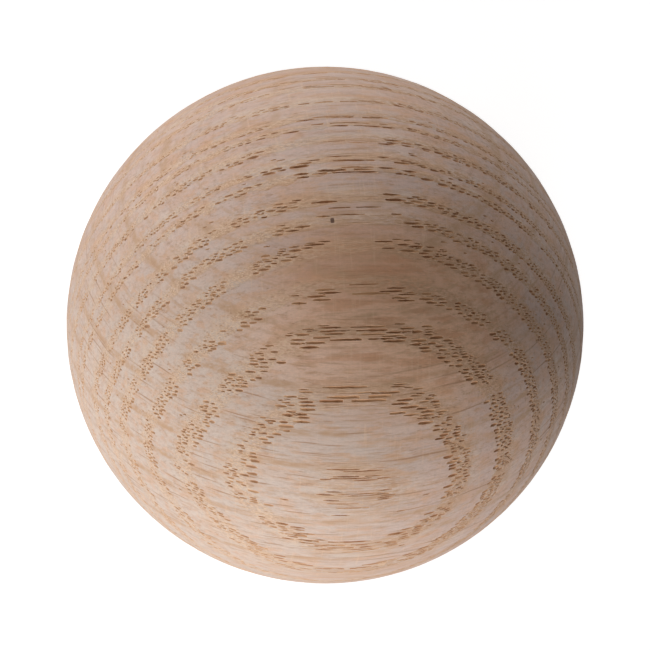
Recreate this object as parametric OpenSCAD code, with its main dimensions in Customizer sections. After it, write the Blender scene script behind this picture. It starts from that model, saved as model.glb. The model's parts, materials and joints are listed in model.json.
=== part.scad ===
// Ball end cap for a round wooden handrail.
// One piece of solid oak, turned to a ball, with a flat seat for the end of
// the rail and a blind hole in the seat for the dowel that joins the two.
// Frame: origin at the centre of the seat, +Z along the rail's axis, out
// through the ball's nose. The ball stands on its seat. Millimetres.

/* [Ball] */
// Diameter of the turned ball
ball_d = 60; // [52:1:80]

/* [Rail seat] */
// Diameter of the handrail that the seat meets, and of the seat's sharp edge
rail_d = 42; // [30:1:46]
// Radius that eases the edge between the seat and the ball
seat_edge_r = 0.8; // [0.3:0.1:2]

/* [Dowel hole] */
// Diameter of the blind hole, which is the diameter of its dowel
hole_d = 8; // [6:0.5:12]
// Depth of the hole from the seat to the start of the drill's point
hole_depth = 22; // [15:1:28]
// Included angle of the drill's point
drill_point_angle = 118; // [90:1:150]
// Width of the 45 degree chamfer round the hole's mouth
mouth_chamfer = 0.8; // [0.2:0.1:2]

/* [Hidden] */
$fn = 144;

ball_r = ball_d / 2;
// The ball's centre stands over the seat by the height at which the ball is
// as wide as the rail.
ball_z = sqrt(ball_r * ball_r - rail_d * rail_d / 4);

// The easing arc touches the seat at edge_x and the ball at edge_top.
edge_x = sqrt(pow(ball_r - seat_edge_r, 2) - pow(ball_z - seat_edge_r, 2));
edge_top = [0, ball_z] + ball_r / (ball_r - seat_edge_r) * [edge_x, seat_edge_r - ball_z];

hole_r = hole_d / 2;
drill_point_h = hole_r / tan(drill_point_angle / 2);
// Cuts start this far below the seat, so that they open it cleanly.
cut_past = 1;

// Half of the ball's section, from the axis out: the ball down to the easing
// arc, the arc, and the wood inside them down to the seat.
module ball_section() {
    intersection() {
        translate([0, ball_z])
            circle(r = ball_r);
        translate([0, edge_top.y])
            square([ball_r, ball_z + ball_r - edge_top.y]);
    }
    translate([edge_x, seat_edge_r])
        circle(r = seat_edge_r);
    polygon([
        [0, 0],
        [edge_x, 0],
        [edge_x, seat_edge_r],
        edge_top,
        [0, edge_top.y]
    ]);
}

// The drilled hole with its point and its chamfered mouth.
module dowel_hole() {
    translate([0, 0, -cut_past])
        cylinder(r = hole_r, h = hole_depth + cut_past);
    translate([0, 0, hole_depth])
        cylinder(r1 = hole_r, r2 = 0, h = drill_point_h);
    translate([0, 0, -cut_past])
        cylinder(r1 = hole_r + mouth_chamfer + cut_past, r2 = hole_r, h = mouth_chamfer + cut_past);
}

module turned_ball() {
    color("burlywood")
        difference() {
            rotate_extrude()
                ball_section();
            dowel_hole();
        }
}

turned_ball();
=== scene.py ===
"""A turned oak ball that ends a handrail, seen from above its nose.

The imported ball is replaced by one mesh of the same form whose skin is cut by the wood's pores.
The wood is a solid: its vessels are thin tubes that run along the grain, in bands at the growth
rings. Where a tube meets the ball's surface it leaves a pit, round on the end grain and long where
the surface runs along the grain. Lengths in the wood's own working are millimetres.

Wood coordinates are (along the grain, across it, up the ring normal), from the ball's centre.
"""

import json
import math
from collections import namedtuple

import bpy
import numpy as np
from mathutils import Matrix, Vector, geometry, kdtree


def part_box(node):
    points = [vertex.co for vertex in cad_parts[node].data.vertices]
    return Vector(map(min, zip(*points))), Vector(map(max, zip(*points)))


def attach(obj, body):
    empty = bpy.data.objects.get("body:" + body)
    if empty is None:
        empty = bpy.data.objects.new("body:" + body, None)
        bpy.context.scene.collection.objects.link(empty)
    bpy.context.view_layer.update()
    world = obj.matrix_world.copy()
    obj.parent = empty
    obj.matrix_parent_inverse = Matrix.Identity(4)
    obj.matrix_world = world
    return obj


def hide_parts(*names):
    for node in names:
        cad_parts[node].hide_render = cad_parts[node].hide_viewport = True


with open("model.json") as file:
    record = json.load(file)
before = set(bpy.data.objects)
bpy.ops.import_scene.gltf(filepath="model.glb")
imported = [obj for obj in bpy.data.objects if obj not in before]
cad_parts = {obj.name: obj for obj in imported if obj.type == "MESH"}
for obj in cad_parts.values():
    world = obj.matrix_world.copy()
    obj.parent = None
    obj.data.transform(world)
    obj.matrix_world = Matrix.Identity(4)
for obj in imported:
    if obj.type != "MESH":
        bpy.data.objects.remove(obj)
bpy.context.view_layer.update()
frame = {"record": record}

MM = 0.001
rng = np.random.default_rng(11)

# ---------------------------------------------------------------- the ball's form
_, node_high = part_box("turned_ball")
BALL_R = round(node_high.x / MM, 1)
BALL_Z = round(node_high.z / MM, 3) - BALL_R
HOLE = next(m for m in frame["record"]["mounts"] if m["name"] == "dowel_hole")
HOLE_R = HOLE["dims"]["r_mm"]
# the easing round the seat, and the chamfer at the hole's mouth
SEAT_EDGE_R = 0.8
MOUTH_CHAMFER = 0.8
HOLE_DEPTH = MOUTH_CHAMFER + HOLE["dims"]["length_mm"]
DRILL_POINT_ANGLE = 118

# points round the turned parts, and steps down each stretch of their outline
AROUND = 144
ARC_STEPS = 4
SEAT_STEPS = 10
BORE_STEPS = 5
POINT_STEPS = 3

# the easing between the ball and the seat is an arc inside both, and the skin ends where it starts
EASE_X = math.sqrt((BALL_R - SEAT_EDGE_R) ** 2 - (BALL_Z - SEAT_EDGE_R) ** 2)
SKIN_EDGE_R = EASE_X * BALL_R / (BALL_R - SEAT_EDGE_R)
SKIN_EDGE_Z = (SEAT_EDGE_R - BALL_Z) * BALL_R / (BALL_R - SEAT_EDGE_R)

# ---------------------------------------------------------------- the wood
# the directions of the grain, of the growth rings outward from the tree's heart, and across both
GRAIN = Vector((0.9912, 0.0297, -0.1288)).normalized()
RING_NORMAL = Vector((0.1191, -0.6225, 0.7735)).normalized()
ACROSS = RING_NORMAL.cross(GRAIN).normalized()
RING_NORMAL = GRAIN.cross(ACROSS)
# how far a ring's surface has dropped at the ball's edge, along the grain and across it
BOW_ALONG = 0.11
BOW_ACROSS = 0.75
# its slope where it climbs, on the near side of the pole, and how wide the turn into the slope is
CLIMB = 0.13
CLIMB_TURN = 3
# how far it sags at the ball's left, where that starts along the grain, how soft the start is, and
# how wide the sag is across the grain
SAG = 1.1
SAG_FROM = -14
SAG_EASE = 2.5
SAG_REACH = 6
# it waves in bumps, long folds and short folds: the height, and the lengths along and across the grain
BUMPS = (0.09, 6.1, 5.3)
LONG_FOLDS = (0.08, 9.0, 3.1)
SHORT_FOLDS = (0.05, 3.3, 4.7)

# each growth ring: where its pores start along the ring normal, how deep their band is, their size,
# and how far the band has risen by the ring's upper edge
RINGS = (
    (29.9, 0.25, 0.45, 0), (27.9, 0.95, 1.0, -0.3), (24.95, 1.25, 1.0, -0.3), (21.45, 1.0, 1.0, 0.4),
    (18.35, 1.05, 0.95, -0.5), (15.5, 0.9, 1.0, -0.2), (13.25, 0.9, 0.95, -0.3), (9.7, 0.65, 1.0, 0),
    (8.15, 0.6, 0.95, 0), (5.35, 0.8, 1.0, 0.4), (2.9, 0.6, 0.75, 0), (1.4, 0.5, 0.85, 0),
    (-1.7, 0.65, 0.8, 0), (-5.4, 0.7, 0.9, 0), (-7.7, 0.7, 0.85, 0), (-10.6, 0.7, 0.9, 0),
    (-13.9, 0.7, 0.95, 0), (-17.4, 0.6, 0.9, 0), (-20.6, 0.7, 0.95, 0), (-24.0, 0.6, 0.9, 0),
    (-27.1, 0.6, 0.9, 0),
)
# how far the wood goes on above the first ring's start, and the last ring below the ball
TOP_MARGIN = 3
BOTTOM_MARGIN = 2
# rings, by their start, with no pores round the middle of their upper side, and how far along the
# grain from there the pores begin
BARE_TOPS = {18.35: 3.0, 13.25: 4.0}

# a vessel's radius at the start of a ring's pores and at their end, its scatter and its limits
VESSEL_R_FIRST = 0.172
VESSEL_R_LAST = 0.115
VESSEL_R_SPREAD = 0.026
VESSEL_R_LEAST = 0.085
VESSEL_R_MOST = 0.24
# the least wood between two vessels, and how far one leans off the grain, as a slope
VESSEL_WALL = 0.02
VESSEL_LEAN = 0.03
# the lean's shift of a pit fades with the pit's distance from the ball's middle, over this length
LEAN_FADE = 8
# how many vessels are tried on each square mm of a ring's pores, and how far past the ball's edge
TRIES_PER_AREA = 72
TRIES_MARGIN = 2
# the more it is above 1, the more the vessels crowd towards the ring's start
START_POWER = 1.3
# the larger it is, the nearer a ring's rise keeps to its upper edge
RISE_POWER = 8
# vessels stand in clusters: the share kept, the strength and length of three waves in it, and those
# of a wave that shifts the first one, in radians
KEPT_SHARE = 0.68
CLUSTERS = ((0.45, 0.62), (0.30, 1.7), (0.15, 4.1))
CLUSTER_SHIFT = (1.3, 2.3)
# small vessels that stray past a ring's pores: their share where the pores are 1 mm deep, and how
# far they go
STRAY_SHARE = 0.006
STRAY_DEPTH = 1.1
# vessels are clogged at their left end where two waves add up to less than a level: how far each
# wave turns in a mm across the grain and up the ring normal, in radians, the second one's share, the
# level, and how far along the grain from the ball's middle it starts
CLOG_WAVE = (1.9, 2.3)
CLOG_SWELL = (0.83, -1.1)
CLOG_SWELL_SHARE = 0.5
CLOG_LEVEL = -0.55
CLOG_FROM = 3
# steps that find where a vessel meets the ball, and the shallowest slot
MEET_STEPS = 6
SLOT_DEPTH_LEAST = 0.01
# a slot longer than the longest piece is cut into pieces, with gaps between them
PIECE_LEAST = 1.3
PIECE_MOST = 5.5
PIECE_GAP_MOST = 0.9
PIECE_GAP_SHARE_LEAST = 0.2

# ---------------------------------------------------------------- the pits
# the deepest floor, the share of it that the shallowest has, and how far a torn rim stands up
PIT_DEPTH = 0.2
PIT_DEPTH_SHARE_LEAST = 0.4
LIP_HEIGHT = 0.02
LIP_SHARE_LEAST = 0.2
# how much longer a pit is at each end than its vessel's cut
TAIL_LEAST = 0.05
TAIL_MOST = 0.48
# stations along a pit: their spacing, and how few and how many there are
STATION_STEP = 0.55
STATIONS_LEAST = 3
STATIONS_MOST = 14
# the rim's scatter, as a share of the half width, and the least square of the half width in radii
RAGGED = 0.18
BLUNT_END = 0.02
# a pit with more than so many stations may have necks: the chance at each, and the width left
NECK_FROM = 8
NECK_SHARE = 0.12
NECK_WIDTH = 0.45
# the floor's points: where the middle line starts, as a share of the pit's length, and the place of
# the points beside it in the vessel's round section, in radii aside and down from its middle
MIDDLE_START = 0.15
ASIDE = 0.6
ASIDE_DEPTH = 0.8
# how much of the pit's slope its rim takes, how much of the ball's the floor takes, and how much of
# its flat faces' own shading it keeps
EDGE_ROUNDING = 0.3
PIT_SOFTNESS = 0.15
WALL_SHARE = 0.55

# ---------------------------------------------------------------- the skin
# points between the pits: their spacing, and the least share of it to the nearest pit
PLAIN_SPACING = 1.6
PLAIN_SHARE_LEAST = 0.35
# how far above the skin's edge the pits and these points start
PITS_FROM = 0.5
PLAIN_FROM = 0.4
# on the flat map of the skin, points nearer than this become one
MAP_NEAR = 1e-7
# the kinds of points, and what stands for a corner's reach into a pit and for a pit's shade elsewhere
RIM, INSIDE, OUTSIDE = 0, 1, 2
OUT_OF_PIT = -1.0
PLAIN_SHADE = 0.5

# how much of its cell each side of the baking map's cube fills
MAP_FILL = 0.9

# where a vessel of radius r meets the ball, in wood coordinates: how far the pit is shifted along the
# grain, how far along it the cut starts and ends, on which side of the ball, and how far from the
# ball's middle and in what direction the vessel runs
Opening = namedtuple("Opening", "shift inner outer side radial angle r")


def to_ball(wood):
    """Wood coordinates to the ball's own axes."""
    return wood @ np.array([GRAIN, ACROSS, RING_NORMAL])


def to_wood(ball):
    """The ball's own axes to wood coordinates."""
    return ball @ np.array([GRAIN, ACROSS, RING_NORMAL]).T


def unit(vectors):
    return vectors / np.maximum(np.linalg.norm(vectors, axis=-1, keepdims=True), 1e-12)


# ---------------------------------------------------------------- vessels
def ring_wave(x, t):
    """How far a ring's surface waves off its smooth bow."""
    bump, bump_x, bump_t = BUMPS
    long, long_x, long_t = LONG_FOLDS
    short, short_x, short_t = SHORT_FOLDS
    return (
        bump * np.sin(x / bump_x + 0.4) * np.cos(t / bump_t + 1.1)
        + long * np.sin(t / long_t + x / long_x + 2.0)
        + short * np.sin(x / short_x - t / short_t)
    )


def ring_shift(x, t):
    """A point's level among the rings is its height along the ring normal plus this."""
    bow = BOW_ALONG * (x / BALL_R) ** 2 + BOW_ACROSS * (t / BALL_R) ** 2
    climb = CLIMB * (np.sqrt(t * t + CLIMB_TURN**2) - t) / 2
    sag = SAG * np.exp(-((t / SAG_REACH) ** 2)) / (1 + np.exp((x - SAG_FROM) / SAG_EASE))
    return bow - climb + sag + ring_wave(x, t)


def crowding(t):
    """How likely a vessel is to be kept, by its place across the grain."""
    phases = rng.uniform(0, 2 * math.pi, 3)
    shifts = (CLUSTER_SHIFT[0] * np.sin(t / CLUSTER_SHIFT[1]), 0, 0)
    chance = KEPT_SHARE
    for (strength, length), phase, shift in zip(CLUSTERS, phases, shifts):
        chance = chance + strength * np.sin(t / length + phase + shift)
    return chance


def scatter_vessels():
    """Centres (across, level) and radii of the vessels, ring by ring, none touching another."""
    found = []
    for level, depth, size, rise in RINGS:
        reach = math.sqrt(max(BALL_R**2 - level**2, 0)) + TRIES_MARGIN
        tries = int(2 * reach * depth * TRIES_PER_AREA)
        t = rng.uniform(-reach, reach, tries)
        below = rng.uniform(0, 1, tries) ** START_POWER
        r = VESSEL_R_FIRST + (VESSEL_R_LAST - VESSEL_R_FIRST) * below
        r += rng.normal(0, VESSEL_R_SPREAD, tries)
        below *= depth
        stray = rng.uniform(0, 1, tries) < STRAY_SHARE / depth
        below[stray] = depth + STRAY_DEPTH * rng.uniform(0, 1, stray.sum())
        r[stray] = VESSEL_R_LEAST
        r = np.clip(size * r, VESSEL_R_LEAST, VESSEL_R_MOST)
        wanted = rng.uniform(0, 1, tries) < crowding(t)
        start = level + rise * np.clip(t / (reach - TRIES_MARGIN), 0, 1) ** RISE_POWER
        place = start - below
        if level in BARE_TOPS:
            far_enough = math.sqrt(BALL_R**2 - BARE_TOPS[level] ** 2)
            wanted &= (t < 0) | (np.hypot(t, place - ring_shift(0, t)) < far_enough)
        kept = np.zeros((0, 3))
        for row in np.stack([t, place, r], 1)[wanted]:
            gap = np.hypot(kept[:, 0] - row[0], kept[:, 1] - row[1])
            if np.all(gap > kept[:, 2] + row[2] + VESSEL_WALL):
                kept = np.vstack([kept, row])
        found.append(kept)
    return np.concatenate(found)


def pieces(start, end):
    """A slot's stretches, from one end to the other."""
    found = []
    while end - start > PIECE_MOST:
        stop = start + rng.uniform(PIECE_LEAST, PIECE_MOST - PIECE_LEAST)
        found.append((start, stop))
        start = stop + rng.uniform(PIECE_GAP_SHARE_LEAST, 1) * PIECE_GAP_MOST
    return found + [(start, end)]


def clogged(t, level):
    """Whether a vessel's left end is filled, which parts the pits there into clusters."""
    wave = math.sin(CLOG_WAVE[0] * t + CLOG_WAVE[1] * level)
    swell = math.sin(CLOG_SWELL[0] * t + CLOG_SWELL[1] * level)
    return wave + CLOG_SWELL_SHARE * swell < CLOG_LEVEL


def openings(vessels):
    """Where each vessel meets the ball: at each end, or in a long slot, cut into pieces, where it
    only grazes the ball."""
    found = []
    for t, level, r in vessels:
        lean = rng.normal(0, VESSEL_LEAN) * BALL_R
        for side in (-1, 1):
            x = 0.0
            for _ in range(MEET_STEPS):
                s = level - ring_shift(side * x, t)
                radial = math.hypot(t, s)
                x = math.sqrt(max(BALL_R**2 - radial * radial, 0))
            if radial - r >= BALL_R - SLOT_DEPTH_LEAST:
                continue
            if x > CLOG_FROM and side < 0 and clogged(t, level):
                continue
            outer = math.sqrt(BALL_R**2 - max(radial - r, 0) ** 2)
            angle = math.atan2(t, s)
            if radial + r < BALL_R:
                inner = math.sqrt(BALL_R**2 - (radial + r) ** 2)
                shift = lean * math.exp(-x / LEAN_FADE)
                found.append(Opening(shift, inner, outer, side, radial, angle, r))
            elif side > 0:
                for start, end in pieces(-outer, outer):
                    found.append(Opening(lean, start, end, 1, radial, angle, r))
    return found


# ---------------------------------------------------------------- pits
def on_ball(o, x, up, aside):
    """The ball's point at x along the grain, and up and aside in the vessel's own cross-section."""
    radial = o.radial + up
    y = radial * math.sin(o.angle) + aside * math.cos(o.angle)
    z = radial * math.cos(o.angle) - aside * math.sin(o.angle)
    p = np.array([o.shift + o.side * x, y, z])
    return p * (BALL_R / np.linalg.norm(p))


def station(o, share, count):
    """Distance along the grain, and height in the vessel from -1 to 1, part of the way down a pit.
    A short pit's stations follow the vessel's round section, and a long one's go along the grain."""
    turn = math.cos(math.pi * share)
    if count <= STATIONS_LEAST + 1:
        return math.sqrt(max(BALL_R**2 - (o.radial - turn * o.r) ** 2, 0)), -turn
    x = (o.inner + o.outer) / 2 + turn * (o.outer - o.inner) / 2
    return x, float(np.clip((math.sqrt(BALL_R**2 - x * x) - o.radial) / o.r, -1, 1))


def cut_pit(o):
    """One pit's rim, as a closed loop of points, its middle line, and the points beside that line,
    which only a long pit has. The last two come with their depths."""
    count = round(STATIONS_LEAST + (o.outer - o.inner) / STATION_STEP)
    count = min(max(count, STATIONS_LEAST), STATIONS_MOST)
    cap = PIT_DEPTH * rng.uniform(PIT_DEPTH_SHARE_LEAST, 1)
    tail = rng.uniform(TAIL_LEAST, TAIL_MOST)
    steep = BALL_R / max(o.radial, 1)
    near, far, middle, beside = [], [], [], []
    for j in range(count + 1):
        x, v = station(o, j / count, count)
        x += tail * math.cos(math.pi * j / count)
        up = v * o.r
        if j in (0, count):
            near.append(on_ball(o, x, up, 0))
            continue
        neck = NECK_WIDTH if count > NECK_FROM and rng.uniform() < NECK_SHARE else 1
        width = neck * o.r * math.sqrt(max(1 - v * v, BLUNT_END))
        near.append(on_ball(o, x, up, width * rng.normal(1, RAGGED)))
        far.append(on_ball(o, x, up, -width * rng.normal(1, RAGGED)))
        if 2 < j < count - 2 and j % 2:
            for aside in (ASIDE * width, -ASIDE * width):
                floor = min(cap, steep * (up + ASIDE_DEPTH * o.r))
                beside.append((*on_ball(o, x, up, aside), floor))
    for j in range(count - 2):
        share = MIDDLE_START + (1 - 2 * MIDDLE_START) * (j + 0.5) / (count - 2)
        x, v = station(o, share, count)
        up = v * o.r
        middle.append((*on_ball(o, x, up, 0), min(cap, steep * (up + o.r))))
    return np.array(near + far[::-1]), np.array(middle), np.array(beside).reshape(-1, 4)


def golden_points(count):
    """Points spread evenly over a unit sphere."""
    i = np.arange(count) + 0.5
    z = 1 - 2 * i / count
    turn = i * math.pi * (3 - math.sqrt(5))
    r = np.sqrt(1 - z * z)
    return np.stack([r * np.cos(turn), r * np.sin(turn), z], 1)


def tree_of(points):
    tree = kdtree.KDTree(len(points))
    for i, p in enumerate(points):
        tree.insert(p, i)
    tree.balance()
    return tree


# ---------------------------------------------------------------- the ball's skin
def skin_points():
    """Every point of the skin as its place on the true ball, depth and kind, and the rims as edges."""
    turn = np.arange(AROUND) * 2 * math.pi / AROUND
    edge = np.stack([SKIN_EDGE_R * np.cos(turn), SKIN_EDGE_R * np.sin(turn), 0 * turn + SKIN_EDGE_Z], 1)
    places, depths, kinds, edges = [edge], [0.0] * AROUND, [OUTSIDE] * AROUND, []
    shades = [PLAIN_SHADE] * AROUND
    for opening in openings(scatter_vessels()):
        rim, middle, beside = cut_pit(opening)
        if to_ball(rim)[:, 2].min() < SKIN_EDGE_Z + PITS_FROM:
            continue
        loop = list(range(len(depths), len(depths) + len(rim)))
        line = list(range(loop[-1] + 1, loop[-1] + 1 + len(middle)))
        edges += list(zip(loop, loop[1:] + loop[:1])) + list(zip(line, line[1:]))
        inside = np.concatenate([middle, beside])
        places += [to_ball(rim), to_ball(inside[:, :3])]
        depths += list(-LIP_HEIGHT * rng.uniform(LIP_SHARE_LEAST, 1, len(rim))) + list(inside[:, 3])
        kinds += [RIM] * len(rim) + [INSIDE] * len(inside)
        shades += [rng.uniform()] * (len(rim) + len(inside))

    cut = np.concatenate(places)
    tree = tree_of(cut[AROUND:])
    count = int(4 * math.pi * BALL_R**2 / (math.sqrt(3) / 2 * PLAIN_SPACING**2))
    spare = []
    for p in golden_points(count) * BALL_R:
        if p[2] > SKIN_EDGE_Z + PLAIN_FROM and tree.find(p)[2] > PLAIN_SHARE_LEAST * PLAIN_SPACING:
            spare.append(p)
    depths += [0.0] * len(spare)
    kinds += [OUTSIDE] * len(spare)
    shades += [PLAIN_SHADE] * len(spare)
    points = np.column_stack([np.concatenate([cut, spare]), depths, kinds, shades])
    return points, edges


def skin_faces(points, edges):
    """Triangles over the skin, found on a map of the ball from the middle of its seat.
    Where two rims cross, the map gains a point, and so do the points."""
    flat = points[:, :2] / (BALL_R + points[:, 2:3])
    made = geometry.delaunay_2d_cdt([Vector(p) for p in flat], edges, [], 0, MAP_NEAR, True)
    spots, _, tris, origins = made[:4]
    source = np.array([ids[0] if ids else -1 for ids in origins])
    new = np.nonzero(source < 0)[0]
    if len(new):
        u = np.array([spots[i] for i in new])
        square = (u * u).sum(1, keepdims=True)
        place = np.concatenate([2 * u, 1 - square], 1) / (1 + square) * BALL_R
        source[new] = len(points) + np.arange(len(new))
        rest = np.tile((0, RIM, PLAIN_SHADE), (len(new), 1))
        points = np.concatenate([points, np.concatenate([place, rest], 1)])
    return source[np.array(tris)], points


def pit_reach(tris, place, kind):
    """At each face corner, how far inside a pit it lies: 0 at the rim, and OUT_OF_PIT on the plain skin."""
    tree = tree_of(place[kind == RIM])
    away = np.zeros(len(place))
    for i in np.nonzero(kind == INSIDE)[0]:
        away[i] = tree.find(place[i])[2]
    in_pit = (kind[tris] == INSIDE).any(1)
    return np.where(in_pit[:, None], away[tris], OUT_OF_PIT)


def skin_normals(tris, solid, outward, kind):
    """The normal at each face corner: the ball's own, or inside a pit the pit's, rounded at its rim."""
    in_pit = (kind[tris] == INSIDE).any(1)
    sides = solid[tris]
    facing = np.cross(sides[:, 1] - sides[:, 0], sides[:, 2] - sides[:, 0])
    pit_normal = np.zeros_like(solid)
    for corner in range(3):
        np.add.at(pit_normal, tris[in_pit, corner], facing[in_pit])
    pit_normal = unit(unit(pit_normal) + PIT_SOFTNESS * outward)
    edge = unit(outward * (1 - EDGE_ROUNDING) + pit_normal * EDGE_ROUNDING)
    inside = np.where((kind == INSIDE)[:, None], pit_normal, edge)
    wall = unit(facing)[:, None, :] * WALL_SHARE + inside[tris] * (1 - WALL_SHARE)
    return np.where(in_pit[:, None, None], unit(wall), outward[tris])


# ---------------------------------------------------------------- the seat and the dowel hole
def turned_profile():
    """The turned outline from the skin's edge to the drill point: points and each step's two normals."""
    start = math.atan2(SKIN_EDGE_Z + BALL_Z - SEAT_EDGE_R, SKIN_EDGE_R - EASE_X)
    arc = np.linspace(start, -math.pi / 2, ARC_STEPS + 1)
    ease = [(math.cos(a), math.sin(a)) for a in arc]
    points = [(EASE_X + SEAT_EDGE_R * c, SEAT_EDGE_R * (1 + s)) for c, s in ease]
    normals = [(ease[i], ease[i + 1]) for i in range(ARC_STEPS)]
    point_rise = HOLE_R / math.tan(math.radians(DRILL_POINT_ANGLE / 2))
    legs = (
        (HOLE_R + MOUTH_CHAMFER, 0, SEAT_STEPS),
        (HOLE_R, MOUTH_CHAMFER, 1),
        (HOLE_R, HOLE_DEPTH, BORE_STEPS),
        (0, HOLE_DEPTH + point_rise, POINT_STEPS),
    )
    for r, z, steps in legs:
        r0, z0 = points[-1]
        length = math.hypot(r - r0, z - z0)
        normal = ((z0 - z) / length, (r - r0) / length)
        for i in range(1, steps + 1):
            points.append((r0 + (r - r0) * i / steps, z0 + (z - z0) * i / steps))
            normals.append((normal, normal))
    return points, normals


def turned_mesh():
    """Rings of points down the turned outline, with its faces and the normal at each face corner.
    The first ring is the skin's edge, and the last is the one point where the drill stopped."""
    outline, steps = turned_profile()
    turn = np.arange(AROUND) * 2 * math.pi / AROUND
    round_x, round_y = np.cos(turn), np.sin(turn)
    rings = [np.stack([r * round_x, r * round_y, 0 * turn + z - BALL_Z], 1) for r, z in outline[:-1]]
    places = np.concatenate(rings + [[(0, 0, outline[-1][1] - BALL_Z)]])
    tip = len(places) - 1
    faces, normals = [], []
    for i, (before, after) in enumerate(steps):
        for j in range(AROUND):
            k = (j + 1) % AROUND
            corners = [(i, j, before), (i + 1, j, after), (i + 1, k, after), (i, k, before)]
            if i == len(steps) - 1:
                corners.pop(2)
            faces.append([min(ring * AROUND + spot, tip) for ring, spot, _ in corners])
            normals += [(n[0] * round_x[spot], n[0] * round_y[spot], n[1]) for _, spot, n in corners]
    return places, faces, np.array(normals)


# ---------------------------------------------------------------- the whole ball
def ring_count(level):
    """The number of the ring that a level is in, from 0 above the first, and how far down that ring it
    is: its pores take up the first half, whatever their real depth."""
    edges = [(RINGS[0][0] + TOP_MARGIN, 0)]
    for i, (start, depth, _, _) in enumerate(RINGS):
        edges += [(start, i + 1), (start - depth, i + 1.5)]
    edges.append((-BALL_R - BOTTOM_MARGIN, len(RINGS) + 1))
    heights, counts = np.array(edges).T
    return np.interp(-level, -heights, counts)


def set_attribute(mesh, name, values, domain="POINT"):
    vectors = np.ndim(values) == 2
    layer = mesh.attributes.new(name, "FLOAT_VECTOR" if vectors else "FLOAT", domain)
    layer.data.foreach_set("vector" if vectors else "value", np.asarray(values, np.float32).ravel())


def face_maps(faces, places, bore_start):
    """A map for baking: the ball seen from its centre on the six sides of a cube, in three columns and
    two rows. The dowel hole's walls shrink into the round gap that its mouth leaves."""
    places = places.copy()
    mouth = HOLE_R + MOUTH_CHAMFER
    bore = places[bore_start:]
    deep = (bore[:, 2] + BALL_Z) / (HOLE_DEPTH + HOLE_R)
    turn = np.arctan2(bore[:, 1], bore[:, 0])
    bore[:, 0] = mouth * (1 - deep) * np.cos(turn)
    bore[:, 1] = mouth * (1 - deep) * np.sin(turn)
    bore[:, 2] = -BALL_Z
    owner = np.repeat(np.arange(len(faces)), [len(face) for face in faces])
    corners = places[np.concatenate(faces)]
    middles = np.zeros((len(faces), 3))
    np.add.at(middles, owner, corners)
    axis = np.abs(middles).argmax(1)[owner]
    each = np.arange(len(owner))
    ahead = middles[owner, axis] > 0
    across = corners[each, np.where(axis == 0, 1, 0)] * np.where(ahead == (axis != 1), 1, -1)
    up = corners[each, np.where(axis == 2, 1, 2)]
    spots = np.stack([across, up], 1) / np.abs(corners[each, axis])[:, None]
    cells = np.stack([axis, ahead], 1) + 0.5
    return (cells + 0.5 * MAP_FILL * spots) / (3, 2)


def make_ball():
    """The ball's mesh, with what its material has to know at each point or face corner."""
    tris, points = skin_faces(*skin_points())
    skin, depth, kind, shade = points[:, :3], points[:, 3], points[:, 4], points[:, 5]
    outward = unit(skin)
    solid = skin - outward * depth[:, None]
    normals = skin_normals(tris, solid, outward, kind)

    turned, turned_faces, turned_normals = turned_mesh()
    first = len(solid) - AROUND
    joined = np.concatenate([solid, turned[AROUND:]])
    faces = tris.tolist() + [[i if i < AROUND else i + first for i in f] for f in turned_faces]

    mesh = bpy.data.meshes.new("oak_ball")
    mesh.from_pydata((joined + (0, 0, BALL_Z)) * MM, [], faces)
    mesh.normals_split_custom_set(np.concatenate([normals.reshape(-1, 3), turned_normals]).tolist())

    wood = to_wood(np.concatenate([skin, turned[AROUND:]]))
    wood[:, 2] += ring_shift(wood[:, 0], wood[:, 1])
    turned_count = len(joined) - len(skin)
    inside = np.r_[pit_reach(tris, skin, kind).ravel(), np.full(len(turned_normals), OUT_OF_PIT)]
    set_attribute(mesh, "wood", wood)
    set_attribute(mesh, "ring", ring_count(wood[:, 2]))
    set_attribute(mesh, "inside", inside, "CORNER")
    set_attribute(mesh, "shade", np.r_[shade, np.full(turned_count, PLAIN_SHADE)])
    set_attribute(mesh, "turned", np.r_[np.zeros(len(skin)), np.ones(turned_count)])
    bore_start = len(skin) - AROUND + AROUND * (1 + ARC_STEPS + SEAT_STEPS)
    flat = mesh.uv_layers.new(name="OFBake")
    flat.uv.foreach_set("vector", face_maps(faces, joined, bore_start).astype(np.float32).ravel())
    ball = bpy.data.objects.new("oak_ball", mesh)
    bpy.context.scene.collection.objects.link(ball)
    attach(ball, "root")
    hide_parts("turned_ball")
    return ball


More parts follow.
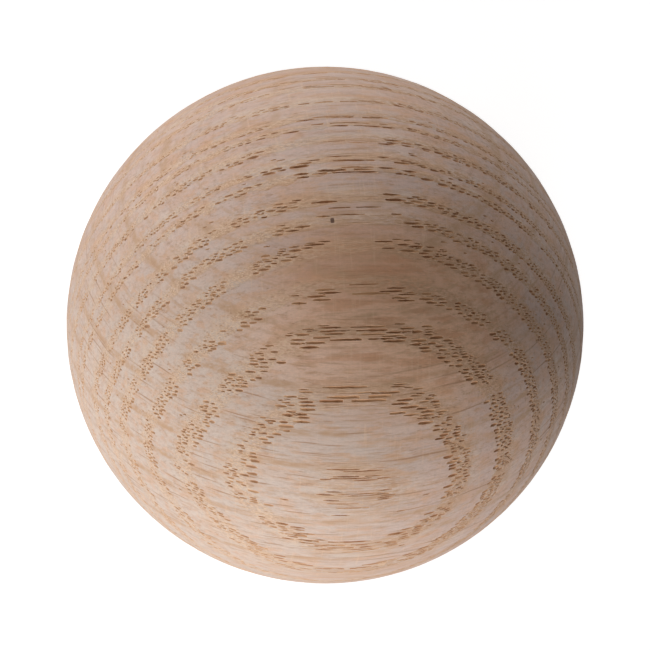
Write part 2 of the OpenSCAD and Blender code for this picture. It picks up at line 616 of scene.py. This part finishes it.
# ---------------------------------------------------------------- materials
class Nodes:
    """Adds nodes to one material: a socket's input is a value or another node's output."""

    def __init__(self, name):
        self.material = bpy.data.materials.new(name)
        self.material.use_nodes = True
        self.tree = self.material.node_tree
        self.tree.nodes.clear()

    def add(self, kind, inputs=(), out=0, **settings):
        """One node, as one of its outputs. A node without outputs is itself returned."""
        made = self.tree.nodes.new("ShaderNode" + kind)
        for key, value in settings.items():
            setattr(made, key, value)
        for socket, value in dict(inputs).items():
            if isinstance(value, bpy.types.NodeSocket):
                self.tree.links.new(value, made.inputs[socket])
            else:
                made.inputs[socket].default_value = value
        return made.outputs[out] if len(made.outputs) else made

    def mesh_number(self, name):
        return self.add("Attribute", attribute_name=name, out=2)

    def mesh_vector(self, name):
        return self.add("Attribute", attribute_name=name, out=1)

    def vector(self, operation, a, b, out=0):
        return self.add("VectorMath", {0: a, 1: b}, operation=operation, out=out)

    def length(self, vector):
        return self.add("VectorMath", {0: vector}, operation="LENGTH", out=1)

    def axis(self, vector, index):
        return self.add("SeparateXYZ", {0: vector}, out=index)

    def noise(self, vector, scale, detail=2.0, rough=0.5):
        """Noise with features about 1/scale wide in each direction."""
        where = self.vector("MULTIPLY", vector, scale)
        return self.add("TexNoise", {"Vector": where, "Scale": 1, "Detail": detail, "Roughness": rough})

    def lenses(self, vector, half_sizes, radius):
        """Distance from the nearest of many scattered lenses: under radius inside one this size."""
        scale = [radius / size for size in half_sizes]
        inputs = {"Vector": self.vector("MULTIPLY", vector, scale), "Scale": 1}
        return self.add("TexVoronoi", inputs, feature="F1")

    def math(self, operation, a, b=0.0):
        return self.add("Math", {0: a, 1: b}, operation=operation)

    def times(self, product, *others):
        """The product of a few numbers."""
        for other in others:
            product = self.math("MULTIPLY", product, other)
        return product

    def span(self, value, low, high, to_low=0.0, to_high=1.0):
        """A smooth step, from to_low where the value is low to to_high where it is high."""
        inputs = {"Value": value, "From Min": low, "From Max": high, "To Min": to_low, "To Max": to_high}
        return self.add("MapRange", inputs, interpolation_type="SMOOTHSTEP")

    def mix(self, share, a, b, blend="MIX"):
        """Colour a turned towards b by share."""
        return self.add("Mix", {0: share, 6: a, 7: b}, out=2, data_type="RGBA", blend_type=blend)

    def dim(self, tone, amount):
        """A colour times a number."""
        return self.mix(1.0, tone, self.add("CombineColor", {0: amount, 1: amount, 2: amount}), "MULTIPLY")


def colour(r, g, b):
    return (r, g, b, 1.0)


def grey(level):
    return colour(level, level, level)


PALE = colour(0.655, 0.488, 0.390)
CREAM = colour(0.595, 0.482, 0.402)
GREYISH = colour(0.545, 0.403, 0.338)
PINKISH = colour(0.605, 0.420, 0.357)
TAN = colour(0.780, 0.450, 0.265)
GOLD = colour(0.860, 0.540, 0.380)
WARM = colour(0.610, 0.345, 0.195)
BROWN = colour(0.430, 0.220, 0.110)
UMBER = colour(0.560, 0.262, 0.128)
BAND = colour(0.520, 0.290, 0.160)
FLECK = colour(0.520, 0.305, 0.170)
RAY = colour(0.380, 0.185, 0.085)
PORE_DARK = colour(0.410, 0.170, 0.060)
PORE_LIGHT = colour(0.600, 0.310, 0.145)
# painted light: the pit floors' lighter tone at the ball's lit left
PORE_PAINTED_LIT = colour(0.530, 0.340, 0.200)
# painted shade of the small hole, which has no depth
HOLE_PAINTED_SHADE = colour(0.110, 0.038, 0.012)
# pale torn fibres and scratches, and in part painted highlight where pit rims and ridges catch the light
PALE_FIBRE_AND_HIGHLIGHT = colour(0.780, 0.550, 0.360)

# the broad rays that show most, by their place across the grain, on each side of the ball, half the
# width of one, and how far the rays bend
BROAD_RAYS_LEFT = (-21.0, -11.7, -4.5, -0.3, 3.6, 7.8, 12.6, 18.0, 23.0)
BROAD_RAYS_RIGHT = (-18.0, -7.2, -3.6, 4.2, 6.6, 13.0, 19.2, 24.0)
BROAD_RAY_HALF = 0.6
RAY_BEND = 1.6

# patches where the wood turns towards a colour: the centre on the ball's own axes, how far the patch
# reaches along the grain, across it and up the ring normal, the share and the colour
Patch = namedtuple("Patch", "centre reach share tint")
CREAM_PATCH = Patch((-17.0, -16.0, 18.0), (38, 38, 38), 0.75, CREAM)
TAN_PATCH = Patch((10.0, 1.0, 28.0), (19, 15, 15), 0.75, TAN)
GOLD_PATCH = Patch((-1.0, -1.0, 30.0), (13, 9, 9), 0.5, GOLD)
UMBER_PATCH = Patch((3.0, 6.4, 28.6), (15, 6, 6), 0.5, UMBER)
# a small hole above the ball's middle, its darkness painted shade on the unbroken skin
DARK_SPOT = (0.8, 11.4, 27.8)
DARK_SPOT_HALF = (0.20, 0.26, 0.26)

# how much the fibres' streaks darken the wood, how much its specks lighten it, and from what level
STREAK_DARK = -0.22
SPECK_LIGHT = 0.34
TONE_LEVEL = 0.96


def in_wood(place):
    """A place on the ball's own axes as the material sees it."""
    x, t, s = to_wood(np.array(place))
    return (x, t, s + ring_shift(x, t))


def inside_patch(n, wood, patch):
    """1 in the middle of a patch, and 0 from its edge on."""
    offset = n.vector("DIVIDE", n.vector("SUBTRACT", wood, in_wood(patch.centre)), patch.reach)
    return n.span(n.length(offset), 1, 0.25)


def base_tone(n, wood, late):
    """Broad changes of colour, the rings' own, the patches, and the fine streaks of the fibres."""
    broad = n.noise(wood, (0.05, 0.20, 0.20), detail=3)
    tone = n.mix(n.span(broad, 0.35, 0.62), PALE, GREYISH)
    cloud = n.noise(n.vector("ADD", wood, (31, 7, 3)), (0.07, 0.45, 0.45), detail=4, rough=0.6)
    tone = n.mix(n.span(cloud, 0.42, 0.64, 0.0, 0.95), tone, WARM)
    tone = n.mix(n.span(late, 0.55, 0.8, 0.0, 0.6), tone, PINKISH)
    for patch in (CREAM_PATCH, TAN_PATCH, GOLD_PATCH, UMBER_PATCH):
        tone = n.mix(n.times(inside_patch(n, wood, patch), patch.share), tone, patch.tint)
    mottle = n.noise(wood, (0.35, 1.1, 1.1), detail=3, rough=0.6)
    tone = n.mix(n.span(mottle, 0.46, 0.66, 0.0, 0.55), tone, WARM)
    streak = n.noise(wood, (0.14, 2.2, 2.2), detail=4, rough=0.65)
    tone = n.mix(n.span(streak, 0.50, 0.70, 0.0, 0.40), tone, BROWN)
    wisp = n.noise(n.vector("ADD", wood, (5, 11, 17)), (0.12, 1.0, 1.0), detail=3, rough=0.55)
    in_tan = n.span(inside_patch(n, wood, TAN_PATCH), 0, 1, 0.1, 0.6)
    tone = n.mix(n.times(n.span(wisp, 0.48, 0.62), in_tan), tone, UMBER)
    speck = n.noise(wood, (2.2, 6.0, 6.0), detail=2, rough=0.6)
    level = n.math("ADD", n.times(streak, STREAK_DARK), n.times(speck, SPECK_LIGHT))
    return n.dim(tone, n.math("ADD", level, TONE_LEVEL)), streak


def nearest(n, value, levels):
    """Distance from a value to the nearest of a few levels."""
    found = None
    for level in levels:
        away = n.math("ABSOLUTE", n.math("SUBTRACT", value, level))
        found = away if found is None else n.math("MINIMUM", found, away)
    return found


def broad_rays(n, across, places):
    return n.span(nearest(n, across, places), BROAD_RAY_HALF, 0.2 * BROAD_RAY_HALF)


def add_rays(n, wood, tone):
    """The wood's rays: sheets that stand across the rings. The broad ones show as soft flecks,
    and the thin ones as short brown lines where the surface cuts them steeply."""
    bend = n.math("SUBTRACT", n.noise(wood, (0.06, 0.10, 0.10), detail=2), 0.5)
    bent = n.vector("ADD", wood, n.add("CombineXYZ", {1: n.times(bend, RAY_BEND)}))
    across = n.axis(bent, 1)
    right = n.span(n.axis(bent, 0), -3, 3)
    left = n.math("SUBTRACT", 1, right)
    at_left = n.times(broad_rays(n, across, BROAD_RAYS_LEFT), left)
    at_right = n.times(broad_rays(n, across, BROAD_RAYS_RIGHT), right)
    broken = n.span(n.noise(wood, (0.20, 0.30, 0.20), detail=3, rough=0.6), 0.40, 0.58)
    fibres = n.span(n.noise(wood, (0.3, 2.4, 2.4), detail=3), 0.35, 0.6, 0.5, 1.0)
    broad = n.times(n.math("ADD", at_left, at_right), broken, fibres, 0.9)
    tone = n.mix(broad, tone, FLECK)

    small = n.lenses(n.vector("ADD", bent, (3, 40, 9)), (1.4, 0.2, 1.8), 0.34)
    tone = n.mix(n.span(small, 0.37, 0.10, 0.0, 0.45), tone, FLECK)
    short = n.span(n.lenses(bent, (2.4, 0.11, 2.8), 0.28), 0.31, 0.08)
    short = n.times(short, n.span(right, 0, 1, 1.0, 0.35))
    long = n.span(n.lenses(n.vector("ADD", bent, (7, 90, 2)), (7.0, 0.13, 8.0), 0.27), 0.29, 0.12)
    long = n.times(long, right)
    steep = n.span(n.math("ABSOLUTE", across), 19, 9, 0.15, 0.75)
    return n.mix(n.times(n.math("ADD", short, long), steep), tone, RAY)


def add_fine_pores(n, wood, streak, late, tone):
    """Pores too fine to be pits, as lines along the grain: short ones in the fibres' streaks, and long
    ones among the pits. On the seat and in the hole, which have no pits, wide ones stand for them.
    Returns the tone and where the long and wide ones are."""
    short = n.span(n.lenses(wood, (2.2, 0.055, 0.055), 0.20), 0.21, 0.13)
    tone = n.mix(n.times(short, n.span(streak, 0.48, 0.60, 0.0, 0.5)), tone, RAY)
    long = n.span(n.lenses(wood, (14.0, 0.085, 0.085), 0.30), 0.31, 0.20)
    long = n.times(long, n.span(late, 0.75, 0.5, 0.0, 0.45))
    wide = n.span(n.lenses(wood, (14.0, 0.17, 0.17), 0.42), 0.43, 0.34)
    wide = n.times(wide, n.span(late, 0.56, 0.48, 0.0, 0.9), n.mesh_number("turned"))
    lines = n.math("MAXIMUM", long, wide)
    return n.mix(lines, tone, PORE_DARK), lines


def add_bands(n, wood, band, torn, tone):
    """The wood among a ring's pits: brown, and most so at the ball's right, partly from torn, denser grain
    and partly painted shade on the ball's darker side. Pale specks where it is torn are partly painted
    highlight on ridges that catch the light, and fewest at the middle and the darker right."""
    along = n.axis(wood, 0)
    right = n.span(along, -4, 9)
    brown = n.span(n.noise(wood, (1.1, 4.0, 4.0), detail=2, rough=0.6), 0.37, 0.58)
    # painted shade in part: the brown band tint grows towards the ball's darker right
    tone = n.mix(n.times(band, brown, n.span(right, 0, 1, 0.30, 0.95)), tone, BAND)
    # painted highlight in part: pale specks on torn ridges, fewer towards the darker right
    pale = n.times(band, n.span(torn, 0.46, 0.60, 0.0, 0.65), n.span(right, 0, 1, 1.0, 0.45))
    pale = n.times(pale, n.span(n.math("ABSOLUTE", along), 2, 9, 0.55, 1.0))
    return n.mix(pale, tone, PALE_FIBRE_AND_HIGHLIGHT)


def add_pits(n, wood, torn, tone):
    """The mesh's pits: a pale lip at the rim, partly painted highlight, a brown wall, and a floor of each
    pit's own shade, which painted light makes lighter at the ball's lit left."""
    inside = n.mesh_number("inside")
    ragged = n.math("ADD", inside, n.span(torn, 0.3, 0.7, -0.05, 0.03))
    floor = n.mix(n.span(n.mesh_number("shade"), 0.3, 1.0), PORE_DARK, PORE_LIGHT)
    # painted light: pit floors turn lighter towards the ball's lit left
    floor = n.mix(n.span(n.axis(wood, 0), -2, -20, 0.0, 0.4), floor, PORE_PAINTED_LIT)
    # pale lip at the rim, partly painted highlight
    tone = n.mix(n.span(inside, -0.01, 0.0, 0.0, 0.6), tone, PALE_FIBRE_AND_HIGHLIGHT)
    tone = n.mix(n.span(ragged, -0.01, 0.03), tone, PORE_LIGHT)
    return n.mix(n.span(ragged, 0.02, 0.08), tone, floor)


def add_dark_spot(n, wood, tone):
    """A small hole with blunt corners, its darkness painted shade on the unbroken skin."""
    offset = n.vector("DIVIDE", n.vector("SUBTRACT", wood, in_wood(DARK_SPOT)), DARK_SPOT_HALF)
    square = n.vector("MULTIPLY", offset, offset)
    away = n.vector("DOT_PRODUCT", square, square, out=1)
    # painted shade: the small hole's darkness
    return n.mix(n.span(away, 1.6, 0.7, 0.0, 0.95), tone, HOLE_PAINTED_SHADE)


def relief(n, wood, scratch, torn, lines):
    """The normal over the fibres, the turning's marks, the torn wood and the fine pores."""
    fibre = n.noise(wood, (0.9, 9.0, 9.0), detail=2)
    height = n.math("ADD", fibre, n.times(scratch, 0.6))
    height = n.math("ADD", height, n.times(torn, 2.5))
    height = n.math("SUBTRACT", height, n.times(lines, 1.5))
    return n.add("Bump", {"Strength": 0.35, "Distance": 0.05 * MM, "Height": height})


def oak():
    """The wood, worked out at each place in it. A ring's pits lie where late is under a half."""
    n = Nodes("oak")
    wood = n.mesh_vector("wood")
    late = n.math("FRACT", n.mesh_number("ring"))
    band = n.times(n.span(late, 0.62, 0.45), n.span(late, 0.0, 0.1))
    scratch = n.noise(wood, (3.6, 0.22, 0.22), detail=3, rough=0.6)
    torn = n.noise(wood, (0.9, 8.0, 8.0), detail=3, rough=0.6)

    tone, streak = base_tone(n, wood, late)
    tone = add_rays(n, wood, tone)
    tone, lines = add_fine_pores(n, wood, streak, late, tone)
    tone = n.mix(n.span(scratch, 0.56, 0.74, 0.0, 0.28), tone, PALE_FIBRE_AND_HIGHLIGHT)
    tone = add_bands(n, wood, band, torn, tone)
    tone = add_pits(n, wood, torn, tone)
    tone = add_dark_spot(n, wood, tone)
    skin = n.add(
        "BsdfPrincipled",
        {
            "Base Color": tone,
            "Roughness": n.span(streak, 0.3, 0.7, 0.50, 0.68),
            "Specular IOR Level": 0.30,
            "Sheen Weight": 0.15,
            "Sheen Roughness": 0.8,
            "Normal": relief(n, wood, scratch, n.times(torn, band), lines),
        },
    )
    n.add("OutputMaterial", {"Surface": skin})
    return n.material


# ---------------------------------------------------------------- the stage
# the camera's lens and sensor, and in the photograph's pixels its side and the ball's radius
LENS = 200
SENSOR = 36
PHOTO_SIDE = 650
PHOTO_BALL_RADIUS = 258.4

# metres here: half the floor's side, and how far from the ball's axis its painted shadow ends and the lamps
# do
FLOOR_HALF = 3.0
PAINTED_SHADOW_REACH = (0.022, 0.034)
LAMP_REACH = (0.1, 0.6)
# the floor's grey, what the camera sees of it, and its glow in the painted shadow close to the ball and
# round it
FLOOR_TONE = 0.8
FLOOR_SEEN = 0.42
PAINTED_SHADOW_GLOW = 0.70
FLOOR_GLOW = 0.875
WORLD_LIGHT = 0.15

# soft square lamps: name, azimuth (0 is +X, 90 is +Y), elevation, watts, side and distance in metres
LAMPS = (
    ("front_low", 266, 8, 2.06, 0.20, 0.70),
    ("key", 240, 30, 1.02, 0.35, 0.45),
    ("left_low", 185, 8, 0.85, 0.20, 0.70),
    ("back_left_low", 135, 8, 1.88, 0.20, 0.70),
    ("back_low", 90, 8, 1.38, 0.20, 0.70),
)


def floor_material():
    """Pale, and white to the camera where nothing shades it. It glows less close to the ball, a painted
    shadow that darkens the floor there on top of its real shadow, and more far off, where the lamps don't
    reach."""
    n = Nodes("floor")
    seen = n.add("LightPath", out=0)
    tone = n.mix(seen, grey(FLOOR_TONE), grey(FLOOR_SEEN))
    body = n.add("BsdfDiffuse", {"Color": tone})
    away = n.length(n.add("TexCoord", out=3))
    # painted shadow: the glow drops close to the ball
    near = n.span(away, *PAINTED_SHADOW_REACH, PAINTED_SHADOW_GLOW, FLOOR_GLOW)
    glow = n.times(seen, n.math("MAXIMUM", near, n.span(away, *LAMP_REACH)))
    glow = n.add("Emission", {"Color": grey(1), "Strength": glow})
    n.add("OutputMaterial", {"Surface": n.add("AddShader", {0: body, 1: glow})})
    return n.material


def add_camera():
    """Straight above the nose, far enough for the ball's outline to have the photograph's radius."""
    data = bpy.data.cameras.new("camera")
    data.lens, data.sensor_width = LENS, SENSOR
    focal_pixels = LENS / SENSOR * PHOTO_SIDE
    edge_distance = BALL_R * MM * focal_pixels / PHOTO_BALL_RADIUS
    distance = math.hypot(edge_distance, BALL_R * MM)
    camera = bpy.data.objects.new("camera", data)
    camera.location = (0, 0, BALL_Z * MM + distance)
    data.clip_start, data.clip_end = 0.01, 10
    bpy.context.scene.collection.objects.link(camera)
    bpy.context.scene.camera = camera


def add_lamp(name, azimuth, elevation, watts, side, away):
    """A soft square lamp aimed at the ball."""
    data = bpy.data.lights.new(name, "AREA")
    data.energy, data.size = watts, side
    a, e = math.radians(azimuth), math.radians(elevation)
    toward = Vector((math.cos(e) * math.cos(a), math.cos(e) * math.sin(a), math.sin(e)))
    lamp = bpy.data.objects.new(name, data)
    lamp.location = Vector((0, 0, BALL_Z * MM)) + toward * away
    lamp.rotation_euler = toward.to_track_quat("Z", "Y").to_euler()
    lamp.visible_camera = False
    bpy.context.scene.collection.objects.link(lamp)


def add_floor():
    mesh = bpy.data.meshes.new("floor")
    corners = [(x * FLOOR_HALF, y * FLOOR_HALF, 0) for x, y in ((-1, -1), (1, -1), (1, 1), (-1, 1))]
    mesh.from_pydata(corners, [], [(0, 1, 2, 3)])
    mesh.materials.append(floor_material())
    floor = bpy.data.objects.new("floor", mesh)
    bpy.context.scene.collection.objects.link(floor)


def add_world():
    """A little light from all round, and white behind everything to the camera."""
    world = bpy.data.worlds.new("world")
    world.use_nodes = True
    bpy.context.scene.world = world
    tree = world.node_tree
    background = tree.nodes["Background"]
    path = tree.nodes.new("ShaderNodeLightPath")
    strength = tree.nodes.new("ShaderNodeMapRange")
    strength.inputs["To Min"].default_value = WORLD_LIGHT
    strength.inputs["To Max"].default_value = 1.0
    tree.links.new(path.outputs["Is Camera Ray"], strength.inputs["Value"])
    tree.links.new(strength.outputs[0], background.inputs["Strength"])
    background.inputs["Color"].default_value = grey(1)


ball = make_ball()
ball.data.materials.append(oak())
add_camera()
for lamp in LAMPS:
    add_lamp(*lamp)
add_floor()
add_world()
bpy.context.scene.view_settings.view_transform = "Standard"
